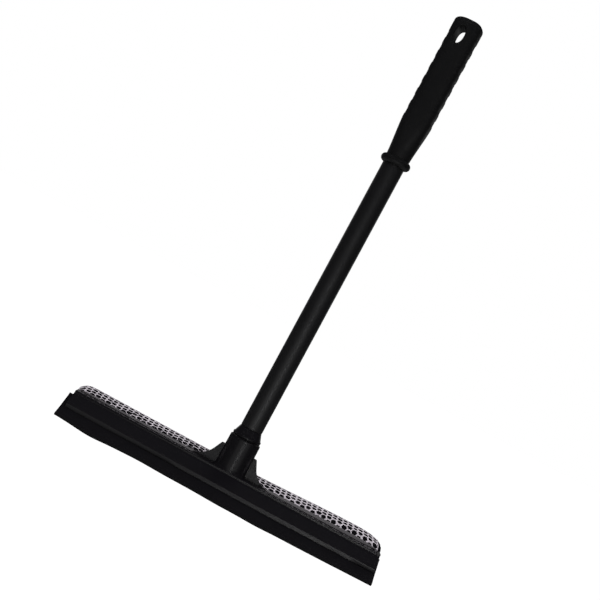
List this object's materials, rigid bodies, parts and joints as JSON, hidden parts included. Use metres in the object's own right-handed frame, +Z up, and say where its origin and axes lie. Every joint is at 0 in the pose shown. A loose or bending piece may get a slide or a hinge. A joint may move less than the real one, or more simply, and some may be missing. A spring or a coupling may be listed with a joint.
{
  "type": "floor squeegee",
  "caption": "Squeegee with a slanted rubber blade in front, a net-covered sponge behind and a screwed-on handle with a hang hole.",
  "frame": {"origin": "on the handle's axis, level with the top of the hang hole in the grip, where a hook carries the tool", "axes": "+Z up the handle, from the head to the grip; +X along the head, to the picture's right; -Y to the front, where the rubber blade is; +Y to the sponge"},
  "size_m": [0.3556, 0.1006, 0.5501],
  "materials": {
    "hand_grip": "matt",
    "handle_tube": "satin",
    "screw_tip": "satin",
    "collar_washer": "matt",
    "head_frame": "satin",
    "rubber_blade": "matt",
    "sponge_foam": "open foam",
    "sponge_net": "knitted net",
    "upper_net_spline": "matt",
    "lower_net_spline": "matt"
  },
  "bodies": {
    "handle": {"hand_grip": "hand_grip", "handle_tube": "handle_tube", "screw_tip": "screw_tip"},
    "washer": {"collar_washer": "collar_washer"},
    "head": {"head_frame": "head_frame", "rubber_blade": "rubber_blade", "sponge_foam": "sponge_foam", "sponge_net": "sponge_net", "upper_net_spline": "upper_net_spline", "lower_net_spline": "lower_net_spline"}
  },
  "joints": [
    {"name": "head_advance", "type": "slide", "parent": "handle", "child": "washer", "axis": [0, 0, -1], "range_m": [0, 0.0305]},
    {"name": "head_unscrew", "type": "hinge", "parent": "washer", "child": "head", "pos_m": [0, 0, -0.4741], "axis": [0, 0, -1], "range_deg": [0, 2160]}
  ],
  "couplings": [
    {"joint": "head_advance", "follows": "head_unscrew", "m_per_rad": 0.00080851}
  ]
}
